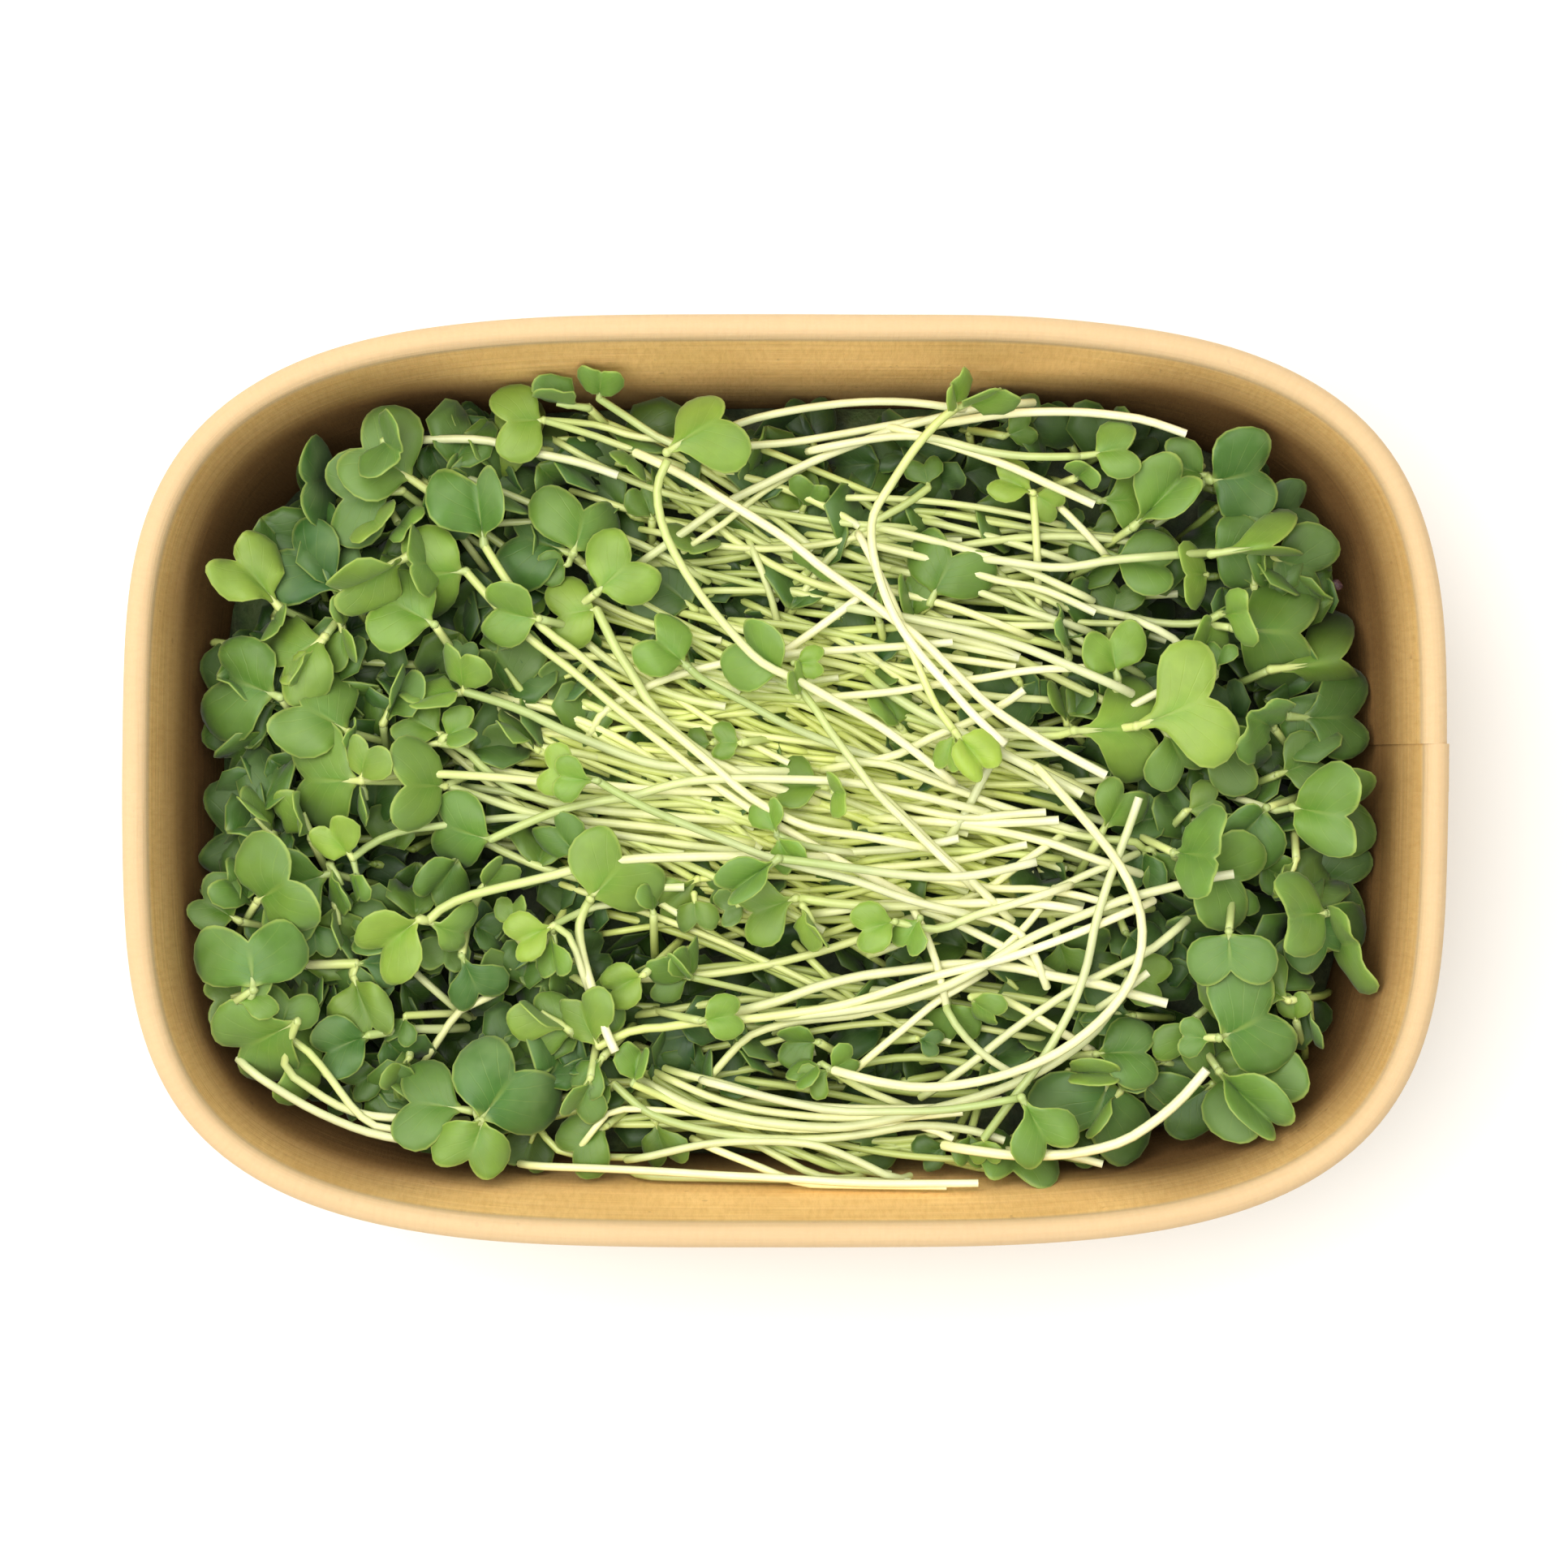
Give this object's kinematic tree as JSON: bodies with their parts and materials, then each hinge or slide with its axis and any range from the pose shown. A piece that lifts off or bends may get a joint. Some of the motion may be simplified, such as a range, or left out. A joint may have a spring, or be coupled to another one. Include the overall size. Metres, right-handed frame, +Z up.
{
  "type": "tray of broccoli microgreens",
  "caption": "Cut broccoli sprouts with heart-shaped seed leaves and pale stems, lying in a rounded kraft-paper tray with a rolled rim.",
  "frame": {"origin": "middle of the tray's footprint, on the surface that it stands on", "axes": "+X along the tray's long side, with the dense leaves mostly at -X; +Y across it; +Z up, out of the open top"},
  "size_m": [0.172, 0.1212, 0.0511],
  "materials": {
    "kraft_paper": "matt, brown, with fine fibres",
    "leaf": "satin mature seed leaf with a bluish bloom",
    "young_leaf": "satin young yellow-green seed leaf",
    "stem": "satin translucent pale stem"
  },
  "bodies": {
    "root": {"tray_wall": "kraft_paper", "tray_base": "kraft_paper", "left_leaves": "leaf", "right_leaves": "leaf", "stems": "stem", "tucked_leaf_01": "leaf", "tucked_leaf_02": "leaf", "tucked_leaf_03": "leaf", "tucked_leaf_04": "leaf", "tucked_leaf_05": "leaf", "tucked_leaf_06": "leaf", "tucked_leaf_07": "leaf", "tucked_leaf_08": "leaf", "loose_sprout_01": "young_leaf", "loose_sprout_02": "young_leaf", "loose_sprout_03": "young_leaf", "loose_sprout_04": "young_leaf", "loose_sprout_05": "young_leaf", "loose_sprout_06": "young_leaf", "loose_sprout_07": "young_leaf", "loose_sprout_08": "young_leaf", "loose_sprout_09": "young_leaf", "loose_sprout_10": "young_leaf", "loose_sprout_11": "young_leaf", "loose_sprout_12": "young_leaf", "loose_sprout_13": "young_leaf", "loose_sprout_14": "young_leaf", "loose_sprout_15": "young_leaf", "loose_sprout_16": "young_leaf", "loose_sprout_17": "young_leaf", "loose_sprout_18": "young_leaf", "loose_sprout_19": "young_leaf", "loose_sprout_20": "young_leaf", "loose_sprout_21": "young_leaf"}
  },
  "joints": []
}
